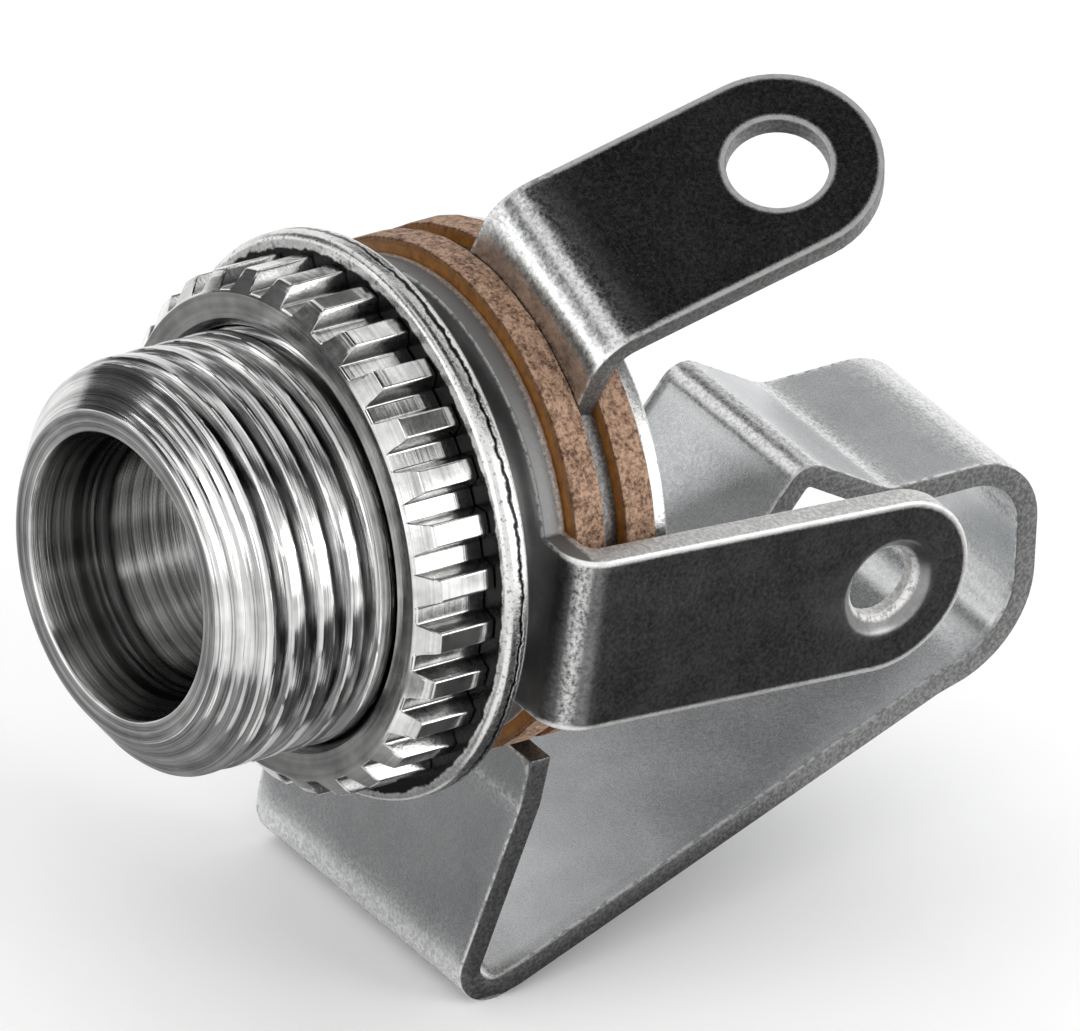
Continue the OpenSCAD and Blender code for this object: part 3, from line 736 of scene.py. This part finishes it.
def folded_line(points, radii, step):
    """An open line with rounded corners, walked in short steps, and how much it bends there.

    The bend is the turn between its neighbours for each step, from 0 on a flat to 1 in an arc."""
    line = rounded_outline(points, radii, 14)
    line = walked(line, step, closed=False)
    ahead = np.diff(line, axis=0)
    way = np.unwrap(np.arctan2(ahead[:, 1], ahead[:, 0]))
    length = np.linalg.norm(ahead, axis=1)
    turning = np.abs(np.diff(way)) / ((length[1:] + length[:-1]) / 2)
    bend = np.clip(np.concatenate([[0], turning, [0]]), 0, 1)
    return line, np.convolve(np.pad(bend, 2, mode="edge"), np.ones(5) / 5, "valid")


edge_u = np.linspace(lug_w / 2, -lug_w / 2, 11)
crown = [contact_mid_y, lug_rise - contact_t / 2 * math.tan(math.pi / 4 - lug_slope / 2)]
along_blade = np.array([math.cos(lug_slope), math.sin(lug_slope)])
blade_from = lug_bend_r / math.tan((math.pi / 2 + lug_slope) / 2) + 0.25
stem, stem_bend = folded_line([(contact_mid_y, lug_root), crown, crown + along_blade * blade_from],
                              [0, lug_bend_r, 0], 0.12)
stem_grid = np.stack(np.broadcast_arrays(edge_u, stem[:, :1], stem[:, 1:]), -1)
u, v = eye_patch(lug_eye_r, lug_w / 2, lug_reach - blade_from, edge_u, 0.06)
blade = np.stack([v, crown[0] + (lug_reach + u) * along_blade[0],
                  crown[1] + (lug_reach + u) * along_blade[1]], -1)


def leaned(grid):
    """The same points turned round the plug axis to the lug's own lean, from +Z towards +X."""
    x, y, z = grid[..., 0], grid[..., 1], grid[..., 2]
    return np.stack([x * math.cos(lug_turned) + z * math.sin(lug_turned), y,
                     z * math.cos(lug_turned) - x * math.sin(lug_turned)], -1)


def contact_outer(angle):
    """Radius of the ring's outline: its circle, cut by the lug's chord and by the strip's."""
    from_lug = np.cos(angle - (np.pi / 2 - lug_turned))
    at_lug = np.where(from_lug > lug_root / contact_r - 1e-9, lug_root / np.maximum(from_lug, 1e-9), contact_r)
    down = -np.sin(angle)
    at_strip = np.where(down > -strip_root / contact_r - 1e-9, -strip_root / np.maximum(down, 1e-9), contact_r)
    return np.minimum(np.minimum(at_lug, at_strip), contact_r)


fold = np.array([contact_mid_y - (strip_drop + lean_z) * math.tan(strip_lean), -strip_drop])
rear_low = np.array([strip_reach, fold[1] + (strip_reach - fold[0]) * math.tan(strip_slope)])
rear_high = np.array([strip_reach + (rear_low[1] - strip_top_z) * math.tan(curl_lean), strip_top_z])
valley = np.array([crest_y + crest_h / math.tan(crest_slope), strip_top_z])
crest = np.array([crest_y, strip_top_z + crest_h])
flap_end = crest - flap_l * np.array([math.cos(flap_slope), math.sin(flap_slope)])
strip_line, strip_bend = folded_line(
    [(contact_mid_y, strip_root), (contact_mid_y, lean_z), fold, rear_low, rear_high, valley, crest, flap_end],
    [0, 1.0, 0.45, 1.4, 1.1, 0.9, 0.25, 0], 0.12)

# Half the strip's width at each point: by height down its wall, then by station along its floor and top
line_y, line_z = strip_line.T
turn_over = np.argmax(line_z[:len(line_z) // 3 * 2] < -strip_drop + 0.45)
wall_half = np.interp(-line_z, [1.775, 6.9], [3.05, 2.5])
floor_half = np.interp(line_y, [1.525, 9.2], [2.5, 1.6])
top_half = np.interp(line_y, [crest_y, 9.2], [1.575, 1.6])
step_at = np.arange(len(line_y))
rearmost = np.argmax(line_y)
half = np.where(step_at < turn_over, wall_half, np.where(step_at < rearmost, floor_half, top_half))
half = np.minimum(half, np.where(step_at >= turn_over, 2.5, np.inf))
top_w = half[0]
inner_x = np.linspace(chord, -chord, 9)
columns = np.concatenate([np.linspace(top_w - strip_shift, chord, 4)[:-1], inner_x,
                          np.linspace(-chord, -top_w - strip_shift, 5)[1:]])
shares = (columns + strip_shift) / top_w
strip_grid = np.stack(np.broadcast_arrays(-strip_shift + half[:, None] * shares, strip_line[:, :1],
                                          strip_line[:, 1:]), -1)

lug_angles = np.arctan2(lug_root, edge_u) - lug_turned
strip_angles = np.arctan2(strip_root, inner_x[::-1]) + 2 * np.pi
angle = np.concatenate([lug_angles, np.linspace(lug_angles[-1], strip_angles[0], 40)[1:-1], strip_angles,
                        np.linspace(strip_angles[-1], lug_angles[0] + 2 * np.pi, 30)[1:-1]])
u, v = ring_patch(contact_hole_r, contact_outer, angle, 4)
contact_ring = np.stack([u, np.full_like(u, contact_mid_y), v], -1)
# The rim colour is a painted highlight along the rounded edges, and the bend colour a painted highlight on the
# folds
contact_nickel = sheet_material("contact_nickel", (0.45, 0.46, 0.47, 1), (0.58, 0.59, 0.60, 1),
                                (0.92, 0.92, 0.91, 1), (0.17, 0.17, 0.17, 1), (0.34, 0.34, 0.335, 1), 0.9,
                                (0.92, 0.92, 0.91, 1), 0.26)
# Painted reflection bands across the lug's bend: the bend highlight, then a dark band, a grey band and the dark
# blade
stem_dull_and_painted_bands = np.interp(stem[:, 0] - contact_mid_y, [0.22, 0.34, 0.42, 0.55, 0.75], [0, 0.8, 0.75, 0.35, 1])[:, None]
# The bend masks paint a highlight along every fold; the blade is painted dark, partly as handled matt plate,
# partly as dark reflection
contact = sheet_piece("tip_contact_folded", [
    (contact_ring, True, 0.0, 0.0), (leaned(stem_grid), False, stem_bend[:, None], stem_dull_and_painted_bands),
    (leaned(blade), True, 0.0, 1.0), (strip_grid, False, strip_bend[:, None], 0.0)],
    contact_t, 0.07, contact_nickel)
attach(contact, "socket")
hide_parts("tip_contact")

# Insulating collar and rear insulator
# The same board as the front one. The collar fills the contact's hole round the tube, and the
# rear washer of board keeps the contact off the rolled lip.
board_piece("insulating_collar_board", "insulating_collar", 2.35, 2.0)
board_piece("rear_insulator_board", "rear_insulator", 2.35, 3.0)

# Rear washer
# A thin plain washer of plated steel, which spreads the pressure of the rolled lip.
rear_low, rear_high = span("rear_washer")
rear_outline = walked(rounded_outline(
    [(2.35, rear_low[1]), (rear_high[2], rear_low[1]), (rear_high[2], rear_high[1]), (2.35, rear_high[1])],
    [0.02, 0.05, 0.05, 0.02], 5), 0.1)
points = turned_grid(rear_outline, 192)
faces = outward(points.reshape(-1, 3), grid_faces(*points.shape[:2]))
rear_washer = piece("rear_washer_stamped", points.reshape(-1, 3), faces, washer_nickel)
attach(rear_washer, "socket")
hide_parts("rear_washer")

# Floor and light
# A pale floor and a white studio, seen by the metal as the camera sees it. Flags, which only
# the metal's gloss sees, stand and lie round the socket as a photographer puts them.
def flat_sheet(name, corners, colour):
    """A matt sheet through four corners, as part of the stage."""
    made = bpy.data.objects.new(name, bpy.data.meshes.new(name))
    made.data.from_pydata([tuple(float(k) * mm for k in corner) for corner in corners], [], [(0, 1, 2, 3)])
    matt = bpy.data.materials.new(name)
    matt.use_nodes = True
    matt.node_tree.nodes["Principled BSDF"].inputs["Base Color"].default_value = colour
    matt.node_tree.nodes["Principled BSDF"].inputs["Roughness"].default_value = 0.9
    made.data.materials.append(matt)
    bpy.context.scene.collection.objects.link(made)
    return made


def facing(way):
    """Two directions across a direction, one of them level."""
    way = np.array(way, float) / np.linalg.norm(way)
    side = np.cross([0.0, 0.0, 1.0] if abs(way[2]) < 0.9 else [0.0, 1.0, 0.0], way)
    side /= np.linalg.norm(side)
    return way, side, np.cross(way, side)


def flag(name, centre, way, size, grey):
    """A grey flag that faces along way, and that only reflections show."""
    way, side, rise = facing(way)
    made = flat_sheet(name, [np.array(centre) + side * a * size[0] / 2 + rise * b * size[1] / 2
                             for a, b in ((-1, -1), (1, -1), (1, 1), (-1, 1))], (grey, grey, grey, 1))
    made.visible_camera = made.visible_diffuse = made.visible_shadow = False
    made.visible_transmission = False


def lamp(name, way, away, size, light):
    """A soft lamp that shines on the socket; light is its brightness, where white is 1."""
    way, side, rise = facing(way)
    made = bpy.data.objects.new(name, bpy.data.lights.new(name, "AREA"))
    made.data.shape = "RECTANGLE"
    made.data.size, made.data.size_y = size[0] * mm, size[1] * mm
    made.data.energy = light * math.pi * made.data.size * made.data.size_y
    made.matrix_world = (Matrix.Translation(((way * away + [0, 2, -1]) * mm).tolist())
                         @ Matrix(np.column_stack([side, rise, way]).tolist()).to_4x4())
    bpy.context.scene.collection.objects.link(made)


floor_z = cad_low[2] / mm - 0.02
reach = 3000
flat_sheet("floor", [(-reach, -reach, floor_z), (reach, -reach, floor_z), (reach, reach, floor_z),
                     (-reach, reach, floor_z)], (0.97, 0.97, 0.97, 1))

world = bpy.data.worlds.new("studio")
bpy.context.scene.world = world
world.use_nodes = True
tree = world.node_tree
ray = tree.nodes.new("ShaderNodeLightPath").outputs
seen = maths(tree, "MAXIMUM", maths(tree, "MAXIMUM", ray["Is Camera Ray"], ray["Is Glossy Ray"]),
             ray["Is Transmission Ray"])
tree.nodes["Background"].inputs["Color"].default_value = (1, 1, 1, 1)
tree.links.new(remap(tree, seen, 0.0, 1.0, 1.03, 1.0), tree.nodes["Background"].inputs["Strength"])

flag("flag_above", (0, 4, 60), (0, 0, -1), (60, 50), 0.02)
flag("flag_left", (-53, -21, 17), (0.88, 0.38, -0.3), (36, 36), 0.06)
flag("flag_left_high", (-25, -38, 36), (0.42, 0.66, -0.62), (36, 20), 0.06)
flag("flag_back_high", (23.6, 34.8, 43.3), (-0.393, -0.547, -0.739), (18, 40), 0.08)
flag("flag_right_low", (19, 14, floor_z + 0.1), (0, 0, 1), (24, 24), 0.02)
flag("flag_under", (2.5, 4.4, floor_z + 0.08), (0, 0, 1), (11, 7.4), 0.05)
flag("flag_under_front", (6, -0.4, floor_z + 0.08), (0, 0, 1), (6, 2.2), 0.05)
flag("flag_back_left", (-18, 12.5, 16.5), (0.664, -0.547, -0.511), (9, 14), 0.1)
flag("flag_back_left_far", (-18.5, 24, 12), (0.664, -0.547, -0.511), (12, 12), 0.5)
flag("flag_front_near", (-3.5, -4.5, floor_z + 0.06), (0, 0, 1), (15, 7), 0.3)
flag("flag_front_right", (4.5, -11, floor_z + 0.06), (0, 0, 1), (9, 6), 0.22)
flag("flag_front_far", (-13, -17, floor_z + 0.04), (0, 0, 1), (20, 18), 0.34)

lamp("front", (0.0, -0.985, 0.17), 90, (80, 24), 2.2)
lamp("front_left", (-0.66, -0.67, 0.33), 90, (14, 14), 2.0)
lamp("back_right", (0.774, 0.547, 0.32), 90, (46, 46), 2.6)

bpy.context.scene.view_settings.view_transform = "Standard"
